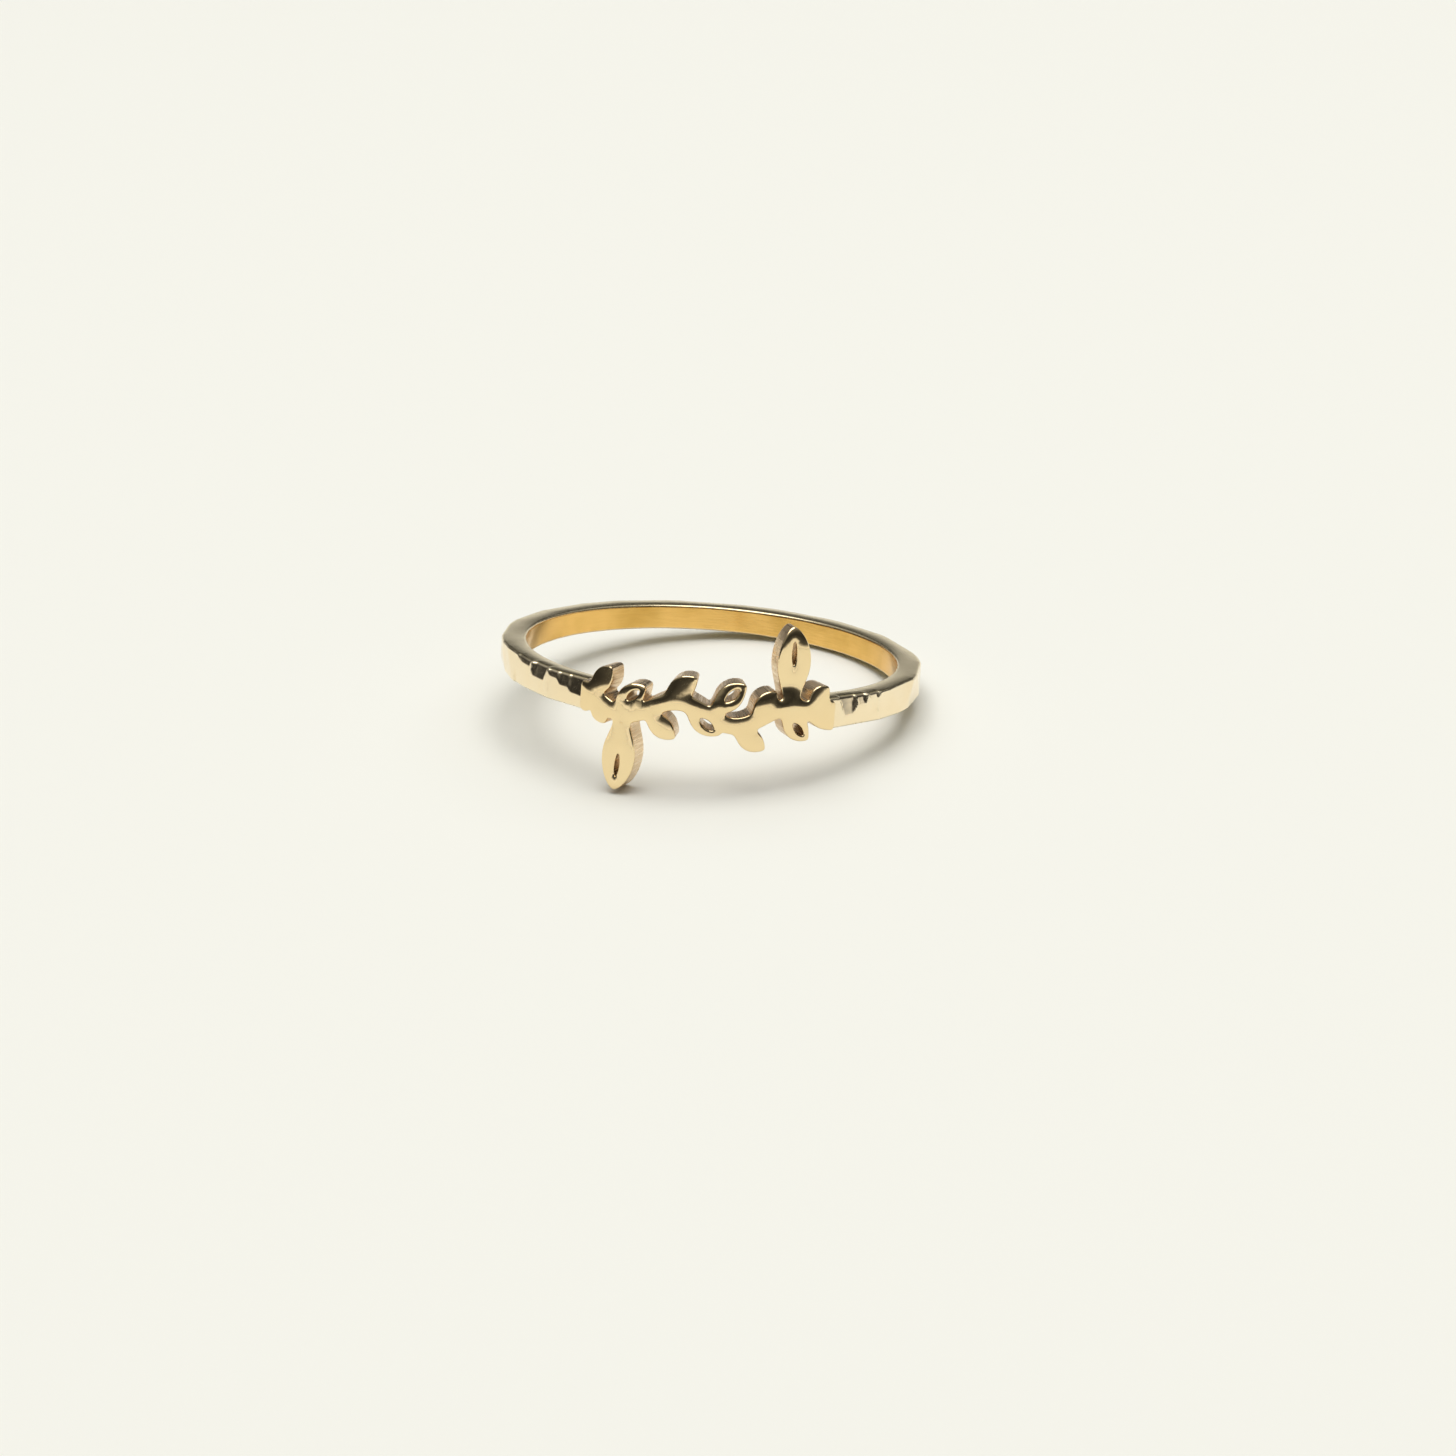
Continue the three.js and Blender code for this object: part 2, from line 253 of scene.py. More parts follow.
@dataclass(frozen=True)
class Sizes:
    """The ring's sizes that its band and its openwork share, in millimetres."""

    bore_radius: float = 8.65
    band_thickness: float = 1.15
    height_front: float = 1.45
    height_back: float = 1.15
    plate_thickness: float = 1.35
    scroll_length: float = 12.5
    end_overlap: float = 0.35
    bore_step: float = 0.04

    @property
    def band_radius(self) -> float:
        """Outside of the band."""
        return self.bore_radius + self.band_thickness

    @property
    def plate_radius(self) -> float:
        """Outside of the openwork."""
        return self.bore_radius + self.plate_thickness

    @property
    def half_angle(self) -> float:
        """Angle from the middle of the openwork to its end."""
        return self.scroll_length / 2 / self.plate_radius

    def band_height(self, azimuth: float) -> float:
        """Height of the band's outside at an angle from the front."""
        share = (1 + math.cos(azimuth)) / 2
        return self.height_back + (self.height_front - self.height_back) * share


def ease(x: float) -> float:
    """Runs from 0 to 1 with level ends."""
    return (1 - math.cos(math.pi * min(max(x, 0.0), 1.0))) / 2


def leftwards(along: Points) -> Points:
    """Directions of length 1 on the left of others, at right angles."""
    unit = along / np.linalg.norm(along, axis=1, keepdims=True)
    return np.c_[-unit[:, 1], unit[:, 0]]


@dataclass(frozen=True)
class Leaf:
    """A leaf on the stem: its place, heading in degrees, and its size and slit as shares of the usual."""

    along: float
    heading: float
    length: float = 1.0
    width: float = 1.0
    bend: float = 0.0
    slit: float = 0.0


SMALL_LEAVES = (
    Leaf(-0.91, 62, 0.82, 1.0, -10),
    Leaf(-0.88, -64, 0.6, 0.85, 12),
    Leaf(-0.7, 52, 0.9, 1.05, -18, 1.6),
    Leaf(-0.46, -42, 0.86, 0.95, 10),
    Leaf(-0.33, 48, 0.92, 1.0, -14),
    Leaf(-0.16, -44, 0.98, 1.05, 12, 1.6),
    Leaf(0.02, 50, 1.02, 1.05, -14, 1.6),
    Leaf(0.2, -40, 0.86, 0.95, 12),
    Leaf(0.34, 58, 0.82, 0.95, -12),
    Leaf(0.56, -54, 0.94, 1.05, 14, 1.5),
    Leaf(0.77, 50, 0.7, 0.92, -12),
)
STANDING_LEAF = Leaf(0.63, 87, bend=5)
HANGING_LEAF = Leaf(-0.635, -90, bend=-6)


@dataclass
class Openwork:
    """The front of the ring: a wavy stem with leaves, drawn flat and then bent round the finger.

    Its sizes are in millimetres, and its slits' ends are shares of a leaf's line.
    """

    sizes: Sizes
    stem_width: float = 0.78
    stem_swing: float = 0.46
    stem_waves: float = 2.37
    last_crest: float = 0.63
    swing_fade: float = 0.22
    stem_stations: int = 200
    corner_stations: int = 12
    line_parts: int = 16
    leaf_stations: int = 40
    end_spread: float = 0.2
    leaf_length: float = 2.2
    leaf_width: float = 1.08
    leaf_neck: float = 0.46
    leaf_point: float = 1.75
    big_point: float = 1.3
    standing_rise: float = 4.1
    hanging_drop: float = 4.05
    big_width: float = 1.66
    big_neck: float = 0.76
    slit_width: float = 0.22
    slit_fullness: float = 0.8
    broadest_place: float = 0.54
    big_slit: tuple[float, float] = (0.5, 0.84)
    small_slit: tuple[float, float] = (0.42, 0.84)
    end_lip: float = 0.05
    end_round: float = 0.3
    fillet: float = 0.12
    edge_round: float = 0.065
    edge_rows_at: tuple[float, ...] = (90, 70, 50, 30, 12)
    wall_rows: int = 7
    sheet_insets: tuple[float, float] = (0.1, 0.078)
    edge_fall: float = 0.07
    edge_fall_reach: float = 0.22
    lean_from: float = 0.35
    lean_over: float = 1.2
    lean_slope: float = 0.24
    tip_lean_from: float = 2.9
    tip_lean_slope: float = 0.3
    uneven_share: float = 0.45
    uneven_pace: float = 1.9
    uneven_start: float = 0.6
    wall_facing: float = 0.35
    cell: float = 0.04
    spacing: float = 0.055
    sheet_spacing: float = 0.14
    sheet_gap: float = 0.6
    softening: int = 4
    fewest_points: int = 12
    outlines: list[Points] = field(default_factory=list)
    slits: list[Points] = field(default_factory=list)

    def stem_point(self, along: float) -> np.ndarray:
        """The stem's middle line at a share of half the openwork's length.

        Args:
            along: the share, from -1 to 1.

        Returns:
            Its two places.
        """
        fade = ease((1 - abs(along)) / self.swing_fade)
        wave = math.cos(math.pi * self.stem_waves * (along - self.last_crest))
        return np.array([along * self.sizes.scroll_length / 2, self.stem_swing * fade * wave])

    def stem_stroke(self) -> Points:
        """Stations along the stem: two places and half the width.

        Returns:
            The stations.
        """
        half_length = self.sizes.scroll_length / 2
        end = self.sizes.band_height(self.sizes.half_angle) / 2 + self.end_lip
        corner = self.end_round / half_length
        rounded = corner * (1 - np.cos(np.linspace(0, math.pi / 2, self.corner_stations)))
        rows = []
        straight = np.linspace(corner - 1, 1 - corner, self.stem_stations + 1)[1:-1]
        for along in np.r_[rounded - 1, straight, 1 - rounded[::-1]]:
            half = end + (self.stem_width / 2 - end) * ease((1 - abs(along)) / self.end_spread)
            inset = max(0.0, self.end_round - (1 - abs(along)) * half_length)
            half -= self.end_round - math.sqrt(max(0.0, self.end_round**2 - inset**2))
            rows.append((*self.stem_point(along), half))
        return np.array(rows)

    def leaf_line(self, leaf: Leaf, length: float) -> Points:
        """The middle line of a leaf of a given length, from the stem to its tip.

        Args:
            leaf: the leaf.
            length: its length.

        Returns:
            Points along the line.
        """
        parts = self.line_parts
        turns = np.radians(leaf.heading + leaf.bend * (np.arange(parts) + 0.5) / parts)
        moves = np.c_[np.cos(turns), np.sin(turns)] * length / parts
        return np.vstack([[0, 0], np.cumsum(moves, axis=0)]) + self.stem_point(leaf.along)

    def leaf_line_to(self, leaf: Leaf, height: float) -> Points:
        """The middle line of a leaf whose tip reaches a height from the band's middle."""
        middle = math.radians(leaf.heading + leaf.bend / 2)
        return self.leaf_line(leaf, (height - self.stem_point(leaf.along)[1]) / math.sin(middle))

    @staticmethod
    def on_line(line: Points, shares: Points) -> Points:
        """Points at shares of a line's length."""
        place = np.linspace(0, 1, len(line))
        return np.c_[np.interp(shares, place, line[:, 0]), np.interp(shares, place, line[:, 1])]

    def leaf_stroke(self, line: Points, neck: float, width: float, point: float) -> Points:
        """Gives a leaf's line its width: a neck, a broad middle and a rounded tip.

        Args:
            line: the leaf's middle line.
            neck: width where it leaves the stem.
            width: width at the broadest place.
            point: how pointed the tip is, with 1 round.

        Returns:
            Stations with half the width.
        """
        swell = np.linspace(0, 1, self.leaf_stations + 1)
        turn = swell[1:] * math.pi / 2
        broadest = self.broadest_place
        shares = np.r_[broadest * swell, broadest + (1 - broadest) * np.sin(turn)]
        swelling = neck + (width - neck) * np.array([ease(x) for x in swell])
        half = np.r_[swelling / 2, width / 2 * np.clip(np.cos(turn), 0, 1) ** point]
        return np.c_[self.on_line(line, shares), half]

    def slit_stroke(self, line: Points, reach: tuple[float, float], width: float) -> Points:
        """Stations of a slit along part of a leaf's line, pointed at both ends.

        Args:
            line: the leaf's middle line.
            reach: shares of the line where it starts and ends.
            width: its width.

        Returns:
            The stations.
        """
        share = np.linspace(0, 1, self.leaf_stations + 1)
        half = width / 2 * np.clip(np.sin(math.pi * share), 0, 1) ** self.slit_fullness
        return np.c_[self.on_line(line, reach[0] + (reach[1] - reach[0]) * share), half]

    @staticmethod
    def outline(stations: Points) -> Points:
        """The closed outline of a stroke.

        Args:
            stations: two places and half the width, for each station.

        Returns:
            Points in order, none twice.
        """
        aside = leftwards(np.gradient(stations[:, :2], axis=0)) * stations[:, 2:3]
        ring = np.vstack([stations[:, :2] + aside, (stations[:, :2] - aside)[::-1]])
        apart = np.linalg.norm(ring - np.roll(ring, -1, axis=0), axis=1) > 1e-4
        return ring[apart]

    def draw(self) -> None:
        """Draws every stroke and slit as an outline."""
        strokes, slits = [self.stem_stroke()], []
        for leaf, height in ((STANDING_LEAF, self.standing_rise), (HANGING_LEAF, -self.hanging_drop)):
            line = self.leaf_line_to(leaf, height)
            strokes.append(self.leaf_stroke(line, self.big_neck, self.big_width, self.big_point))
            slits.append(self.slit_stroke(line, self.big_slit, self.slit_width))
        for leaf in SMALL_LEAVES:
            line = self.leaf_line(leaf, leaf.length * self.leaf_length)
            width = leaf.width * self.leaf_width
            strokes.append(self.leaf_stroke(line, self.leaf_neck, width, self.leaf_point))
            if leaf.slit > 0:
                slits.append(self.slit_stroke(line, self.small_slit, leaf.slit * self.slit_width))
        self.outlines = [self.outline(stroke) for stroke in strokes]
        self.slits = [self.outline(stroke) for stroke in slits]

    @staticmethod
    def signed_distance(points: Points, outline: Points) -> np.ndarray:
        """Distance of points from a closed outline, less than nothing inside it.

        Args:
            points: the points.
            outline: the closed outline.

        Returns:
            A distance for each point.
        """
        nearest = np.full(len(points), np.inf)
        inside = np.zeros(len(points), bool)
        for p, q in zip(outline, np.roll(outline, -1, axis=0)):
            edge, away = q - p, points - p
            share = np.clip(away @ edge / (edge @ edge), 0, 1)
            nearest = np.minimum(nearest, ((away - share[:, None] * edge) ** 2).sum(1))
            crosses = (p[1] <= points[:, 1]) != (q[1] <= points[:, 1])
            if crosses.any():
                at = p[0] + (points[:, 1] - p[1]) / (q[1] - p[1]) * edge[0]
                inside ^= crosses & (points[:, 0] < at)
        return np.where(inside, -1, 1) * np.sqrt(nearest)

    def depth_field(self) -> tuple[np.ndarray, np.ndarray, np.ndarray]:
        """The metal's signed distance on a grid, with soft inner corners where strokes meet.

        Returns:
            The grid's places along x and y, and the distance at each, less than nothing in the metal.
        """
        margin = 0.3
        everything = np.vstack(self.outlines)
        low, high = everything.min(0) - margin, everything.max(0) + margin
        xs, ys = np.arange(low[0], high[0], self.cell), np.arange(low[1], high[1], self.cell)
        grid = np.stack(np.meshgrid(xs, ys, indexing="ij"), axis=-1)
        metal = np.full(grid.shape[:2], 2 * margin)
        for shape, cut in [(s, False) for s in self.outlines] + [(s, True) for s in self.slits]:
            (left, below), (right, above) = shape.min(0) - margin, shape.max(0) + margin
            near = (slice(*np.searchsorted(xs, (left, right))), slice(*np.searchsorted(ys, (below, above))))
            part = self.signed_distance(grid[near].reshape(-1, 2), shape).reshape(grid[near].shape[:2])
            there = metal[near]
            if cut:
                metal[near] = np.maximum(there, -part)
            else:
                blend = np.clip(1 - np.abs(there - part) / self.fillet, 0, 1)
                metal[near] = np.minimum(there, part) - self.fillet / 4 * blend**2
        return xs, ys, metal

    def level_loops(self, xs: np.ndarray, ys: np.ndarray, metal: np.ndarray) -> list[Points]:
        """Follows the metal's edge through the grid, as closed loops with the metal on their left.

        Args:
            xs: places across.
            ys: places along.
            metal: the signed distance at each.

        Returns:
            The loops.
        """
        inside = metal < 0
        corners = ((0, 0), (1, 0), (1, 1), (0, 1))
        mixed = inside[:-1, :-1].astype(int) + inside[1:, :-1] + inside[:-1, 1:] + inside[1:, 1:]
        follows: dict[tuple, tuple] = {}
        places: dict[tuple, np.ndarray] = {}
        for i, j in zip(*np.nonzero((mixed > 0) & (mixed < 4))):
            starts, ends = [], []
            for k, (a, b) in enumerate(zip(corners, corners[1:] + corners[:1])):
                pa, pb = (i + a[0], j + a[1]), (i + b[0], j + b[1])
                if inside[pa] == inside[pb]:
                    continue
                key = (min(pa, pb), max(pa, pb))
                share = metal[pa] / (metal[pa] - metal[pb])
                start, end = (np.array([xs[at[0]], ys[at[1]]]) for at in (pa, pb))
                places[key] = start + share * (end - start)
                (starts if inside[pa] else ends).append((k, key))
            for (_, start), (_, end) in zip(starts, ends if len(ends) == 1 else ends[1:] + ends[:1]):
                follows[start] = end
        loops = []
        while follows:
            first = key = next(iter(follows))
            loop = []
            while key in follows:
                loop.append(places[key])
                key = follows.pop(key)
            if key == first and len(loop) > self.fewest_points:
                loops.append(np.array(loop))
        return loops

    def even_loop(self, loop: Points) -> Points:
        """Spaces a loop's points evenly and takes out the grid's small steps.

        Args:
            loop: the loop.

        Returns:
            The evened loop.
        """
        closed = np.vstack([loop, loop[:1]])
        length = np.r_[0, np.cumsum(np.linalg.norm(np.diff(closed, axis=0), axis=1))]
        count = max(2 * self.fewest_points, int(length[-1] / self.spacing))
        at = np.linspace(0, length[-1], count, endpoint=False)
        even = np.c_[np.interp(at, length, closed[:, 0]), np.interp(at, length, closed[:, 1])]
        for _ in range(self.softening):
            even = 0.5 * even + 0.25 * (np.roll(even, 1, axis=0) + np.roll(even, -1, axis=0))
        return even

    def edge_rows(self, inner: float, outer: float) -> list[tuple[float, float]]:
        """Rows across the wall, from the back face to the outside: distance inwards and radius.

        Args:
            inner: radius of the back face.
            outer: radius of the outside.

        Returns:
            The rows in order.
        """
        r = self.edge_round
        turned = [(r * (1 - math.cos(t)), r * (1 - math.sin(t))) for t in np.radians(self.edge_rows_at)]
        edge = [(inset, 0.0) for inset in self.sheet_insets] + turned
        wall = [(0.0, z) for z in np.linspace(inner + r, outer - r, self.wall_rows)]
        back = [(inset, inner + drop) for inset, drop in edge]
        return back + wall + [(inset, outer - drop) for inset, drop in edge[::-1]]

    def fall(self, depth: np.ndarray, places: Points) -> np.ndarray:
        """How far buffing has taken the outside down, near the edges and towards the upper tips most.

        Args:
            depth: each point's distance from the metal's edge.
            places: the points.

        Returns:
            How far each point comes down.
        """
        x, y = places[:, 0], places[:, 1]
        unevenly = 1 + self.uneven_share * np.sin(self.uneven_pace * x + self.uneven_start)
        raised = np.clip((y - self.lean_from) / self.lean_over, 0, 1)
        lean = self.lean_slope * self.lean_over * (raised**2 * (3 - 2 * raised)) / 1.5
        tip = self.tip_lean_slope * np.maximum(y - self.tip_lean_from, 0) ** 2 / 2
        return self.edge_fall * np.exp(-np.maximum(depth, 0) / self.edge_fall_reach) + lean * unevenly + tip

    def flat_mesh(self) -> Mesh:
        """Makes the openwork flat: x round the ring, y along the finger and z outwards.

        Returns:
            A closed mesh with a rounded edge along every stroke.
        """
        self.draw()
        xs, ys, metal = self.depth_field()
        loops = [self.even_loop(loop) for loop in self.level_loops(xs, ys, metal)]
        inner, outer = self.sizes.bore_radius + self.sizes.bore_step, self.sizes.plate_radius
        rows = self.edge_rows(inner, outer)
        verts: list[np.ndarray] = []
        faces: list[tuple[int, ...]] = []
        ends: list[tuple[np.ndarray, Points]] = []
        base = 0
        for loop in loops:
            into, count = leftwards(np.roll(loop, -1, axis=0) - np.roll(loop, 1, axis=0)), len(loop)
            for inset, radius in rows:
                place = loop + into * inset
                outside = radius > (inner + outer) / 2
                high = radius - (self.fall(np.full(count, inset), place) if outside else 0)
                verts.append(np.c_[place, np.broadcast_to(high, count)])
            here = np.arange(count)
            after = (here + 1) % count
            for row in range(len(rows) - 1):
                low, up = base + row * count, base + (row + 1) * count
                faces += list(zip(low + here, low + after, up + after, up + here))
            ends.append((np.array([base, base + (len(rows) - 1) * count]), loop + into * rows[0][0]))
            base += len(rows) * count
        self.add_sheets(ends, (xs, ys, metal), (inner, outer), verts, faces)
        mesh = bpy.data.meshes.new("openwork_flat")
        mesh.from_pydata(np.vstack(verts).tolist(), [], [tuple(int(i) for i in f) for f in faces])
        mesh.update()
        return mesh

    def add_sheets(
        self, ends: list, grid: tuple, levels: tuple[float, float], verts: list, faces: list
    ) -> None:
        """Closes the back and the outside with a sheet of small triangles each.

        Args:
            ends: for each loop, its first vertex in the back and outside rows, and its places.
            grid: the signed distance and its places.
            levels: radius of the back and of the outside.
            verts: vertices so far, which the sheets' own are added to.
            faces: faces so far, which the sheets' are added to.
        """
        xs, ys, metal = grid
        step = max(1, round(self.sheet_spacing / self.cell))
        thinned = metal[::step, ::step]
        within = thinned < -(max(self.sheet_insets) + self.sheet_spacing * self.sheet_gap)
        gx, gy = np.meshgrid(xs[::step], ys[::step], indexing="ij")
        free, depth = np.c_[gx[within], gy[within]], -thinned[within]
        rim = np.vstack([places for _, places in ends])
        after: dict[int, int] = {}
        for _, places in ends:
            start, count = len(after), len(places)
            after |= {start + k: start + (k + 1) % count for k in range(count)}
        all_points = np.vstack([rim, free])
        found = delaunay_2d_cdt([Vector(p) for p in all_points.tolist()], list(after.items()), [], 0, 1e-7)
        places, origin = found[0], found[3]
        triangles = [[origin[i][0] for i in tri] for tri in found[2]]
        middles = np.array([[sum(places[i][k] for i in tri) / 3 for k in (0, 1)] for tri in found[2]])
        inside = np.zeros(len(middles), bool)
        for _, loop in ends:
            inside ^= self.signed_distance(middles, loop) < 0
        for place, tri in enumerate(triangles):
            sides = list(zip(tri, tri[1:] + tri[:1]))
            if any(after.get(a) == b or after.get(b) == a for a, b in sides):
                inside[place] = any(after.get(a) == b for a, b in sides)
        total = sum(len(v) for v in verts)
        for side, level in enumerate(levels):
            number = np.concatenate([first[side] + np.arange(len(loop)) for first, loop in ends])
            high = level - (self.fall(depth, free) if side else 0)
            verts.append(np.c_[free, np.broadcast_to(high, len(free))])
            number = np.concatenate([number, total + np.arange(len(free))])
            total += len(free)
            for tri in [t for t, keep in zip(triangles, inside) if keep]:
                ids = [int(number[i]) for i in tri]
                faces.append(tuple(ids if side else ids[::-1]))

    def bending_tree(self) -> NodeTree:
        """Builds the tree that bends a flat plate round the finger and gives its faces their finish.

        Returns:
            The tree.
        """
        inputs = {"Geometry": "Geometry", "Plate Radius": "Float", "Face": "Material", "Wall": "Material"}
        n, given = new_group("Round the finger", inputs, {"Geometry": "Geometry"})
        across, along, outwards = n.split(n.add("GeometryNodeInputPosition").outputs[0])
        azimuth = n.over(across, given["Plate Radius"])
        x = n.times(outwards, n.math("SINE", azimuth))
        y = n.times(n.times(outwards, n.math("COSINE", azimuth)), -1.0)
        facing = n.split(n.add("GeometryNodeInputNormal").outputs[0])[2]
        held = n.add("GeometryNodeCaptureAttribute", domain="FACE")
        held.capture_items.new("FLOAT", "Wall")
        n.put(held.inputs["Geometry"], given["Geometry"])
        n.put(held.inputs["Wall"], n.math("LESS_THAN", n.absolute(facing), self.wall_facing))
        bent = n.moved(held.outputs["Geometry"], n.combine(x, y, along))
        face = n.dressed(bent, given["Face"])
        n.add("NodeGroupOutput", {0: n.dressed(face, given["Wall"], held.outputs["Wall"])})
        return n.tree

    def build(self, face: Material, wall: Material) -> Mesh:
        """Makes the openwork's mesh, bent round the finger."""
        values = {"Plate Radius": self.sizes.plate_radius, "Face": face, "Wall": wall}
        return run_tree(self.flat_mesh(), self.bending_tree(), values)


@dataclass(frozen=True)
class EdgeBlow:
    """A blow on the band's edge: degrees round from the front, its lean, where it starts, its length."""

    azimuth: float
    lean: float
    starts: float
    length: float


EDGE_BLOWS = (
    EdgeBlow(-62, 25, 0.2, 1.2),
    EdgeBlow(-53.6, 19, 0.46, 0.95),
    EdgeBlow(-46.4, 17, 0.22, 0.8),
    EdgeBlow(-42.4, 16, 0.4, 0.9),
    EdgeBlow(-38.2, 15, 0.58, 1),
    EdgeBlow(41.4, 15, 0.66, 0.85),
    EdgeBlow(46, 17, 0.34, 0.5),
    EdgeBlow(51, 14, 0.2, 0.65),
    EdgeBlow(-118, -20, 0.3, 1.2),
    EdgeBlow(152, -18, 0.26, 1.2),
)


@dataclass
class HammeredBand:
    """The band round the back of the finger, with hammered flats outside and two flat sides.

    Its sizes are in millimetres and its lean in degrees. The scatter's three ratios make the flats' places,
    leans and depths uneven, alike in each run.
    """

    sizes: Sizes
    flats: int = 38
    flat_depth: float = 0.06
    flat_lean: float = 9.0
    scatter: Triple = (0.618, 0.4142, 0.7321)
    place_spread: float = 0.5
    depth_spread: float = 0.5
    depth_middle: float = 0.75
    ridge_softness: float = 0.004
    blow_length: float = 1.4
    blow_foot: float = 2.4
    blow_rim: float = 0.08
    blow_slope_rim: float = 0.32
    crown: float = 0.035
    edge_round: float = 0.06
    section_step: float = 0.07
    steps: int = 680
    side_facing: float = 0.8
    bore_facing: float = -0.6

    def flat_group(self) -> NodeTree:
        """Builds the group that gives the radius of one hammered flat, laid against the band.

        Returns:
            The group.
        """
        inputs = floats("Azimuth", "Height", "Item", "Flats", "Band Radius", "Flat Depth", "Flat Lean")
        n, given = new_group("Hammered flat", inputs, floats("Radius"))
        wrapped = n.math("WRAP", given["Item"], given["Flats"], 0.0)

        def spread(ratio: float) -> NodeSocket:
            """An even scatter of the item, from -0.5 to 0.5."""
            return n.minus(n.math("FRACT", n.times(wrapped, ratio)), 0.5)

        places, leans, depths = (spread(ratio) for ratio in self.scatter)
        step = n.over(math.tau, given["Flats"])
        place = n.times(n.times_plus(places, self.place_spread, given["Item"]), step)
        turn = n.minus(given["Azimuth"], place)
        tilt = n.times(n.times(leans, 2.0), given["Flat Lean"])
        rise = n.times(given["Height"], n.math("TANGENT", tilt))
        depth = n.times(given["Flat Depth"], n.times_plus(depths, self.depth_spread, self.depth_middle))
        plane = n.minus(n.minus(given["Band Radius"], depth), rise)
        n.add("NodeGroupOutput", {0: n.over(plane, n.math("COSINE", turn))})
        return n.tree

    def blow_group(self) -> NodeTree:
        """Builds the group that gives how deep one blow cuts the band's edge.

        Returns:
            The group.
        """
        inputs = floats(
            "Azimuth", "Height", "Band Height", "Place", "Slope", "Starts", "Half Angle", "Flat Depth",
        )
        n, given = new_group("Edge blow", inputs, floats("Cut"))
        edge = n.times(given["Band Height"], n.minus(0.5, given["Starts"]))
        side = n.math("SIGN", given["Slope"])
        past = n.math("MAXIMUM", n.minus(n.times(side, given["Height"]), edge), 0.0)
        reach = n.over(past, n.times(given["Band Height"], given["Starts"]))
        steep = n.absolute(given["Slope"])
        foot = n.math("MINIMUM", n.times(steep, self.blow_foot), 1.0)
        half = n.times(given["Half Angle"], n.remap(reach, 0.0, 1.0, foot, 1.0))
        away = n.absolute(n.minus(given["Azimuth"], given["Place"]))
        struck = n.minus(1.0, n.over(away, half))
        slope = n.times(steep, n.remap(struck, 0.0, self.blow_slope_rim, 0.0, 1.0))
        base = n.times(n.remap(struck, 0.0, self.blow_rim, 0.0, 1.0), given["Flat Depth"])
        n.add("NodeGroupOutput", {0: n.times_plus(past, slope, base)})
        return n.tree

    def tree(self) -> NodeTree:
        """Builds the tree that makes the band: a section swept round, drawn in at the back and hammered.

        Returns:
            The tree.
        """
        inputs = {"Geometry": "Geometry", "Steps": "Int"} | floats(
            "Bore Radius", "Band Radius", "Front Height", "Back Height", "Open Angle", "Edge Round",
            "Section Step", "Flats", "Flat Depth", "Flat Lean", "Ridge Softness", "Blow Half Angle", "Crown",
        ) | dict.fromkeys(("Outside", "Side", "Bore"), "Material")
        n, given = new_group("Hammered band", inputs, {"Geometry": "Geometry"})
        thickness = n.minus(given["Band Radius"], given["Bore Radius"])
        middle = n.times_plus(thickness, 0.5, given["Bore Radius"])
        arc = n.add("GeometryNodeCurveArc", {
            "Resolution": given["Steps"],
            "Radius": middle,
            "Start Angle": n.minus(given["Open Angle"], math.pi / 2),
            "Sweep Angle": n.times_plus(given["Open Angle"], -2.0, math.tau),
        })
        section = n.add("GeometryNodeCurvePrimitiveQuadrilateral", {0: thickness, 1: given["Front Height"]})
        fillet = n.add("GeometryNodeFilletCurve", {
            "Curve": section.outputs[0], "Radius": given["Edge Round"], "Limit Radius": True,
        }, mode="BEZIER")
        evenly = n.add("GeometryNodeResampleCurve", {
            "Curve": fillet.outputs[0], "Length": given["Section Step"],
        }, mode="LENGTH")
        swept = n.add("GeometryNodeCurveToMesh", {
            "Curve": arc.outputs[0], "Profile Curve": evenly.outputs[0], "Fill Caps": True,
        })
        x, y, z = n.split(n.add("GeometryNodeInputPosition").outputs[0])
        radius = n.math("SQRT", n.level_dot((x, y), (x, y)))
        azimuth = n.math("ARCTAN2", x, n.times(y, -1.0))
        share = n.times_plus(n.over(y, given["Band Radius"]), -0.5, 0.5)
        rise = n.minus(given["Front Height"], given["Back Height"])
        height = n.times_plus(share, rise, given["Back Height"])
        level = n.times(z, n.over(height, given["Front Height"]))
        hammered = self.hammered(n, given, azimuth, level, height)
        outness = n.over(n.minus(radius, given["Bore Radius"]), thickness)
        moved = n.times_plus(n.minus(hammered, given["Band Radius"]), outness, radius)
        scale = n.over(moved, radius)
        across = n.times_plus(outness, 2.0, -1.0)
        bulge = n.times_plus(n.times(across, across), -2.0, 1.0)
        belly = n.over(n.times(bulge, given["Crown"]), height)
        crowned = n.times(level, n.plus(belly, 1.0))
        place = n.combine(n.times(x, scale), n.times(y, scale), crowned)
        made = n.dressed(n.moved(swept.outputs[0], place), given["Outside"])
        nx, ny, nz = n.split(n.add("GeometryNodeInputNormal").outputs[0])
        outward = n.over(n.level_dot((nx, ny), (x, y)), radius)
        made = n.dressed(made, given["Side"], n.math("GREATER_THAN", n.absolute(nz), self.side_facing))
        made = n.dressed(made, given["Bore"], n.math("LESS_THAN", outward, self.bore_facing))
        n.add("NodeGroupOutput", {0: made})
        return n.tree

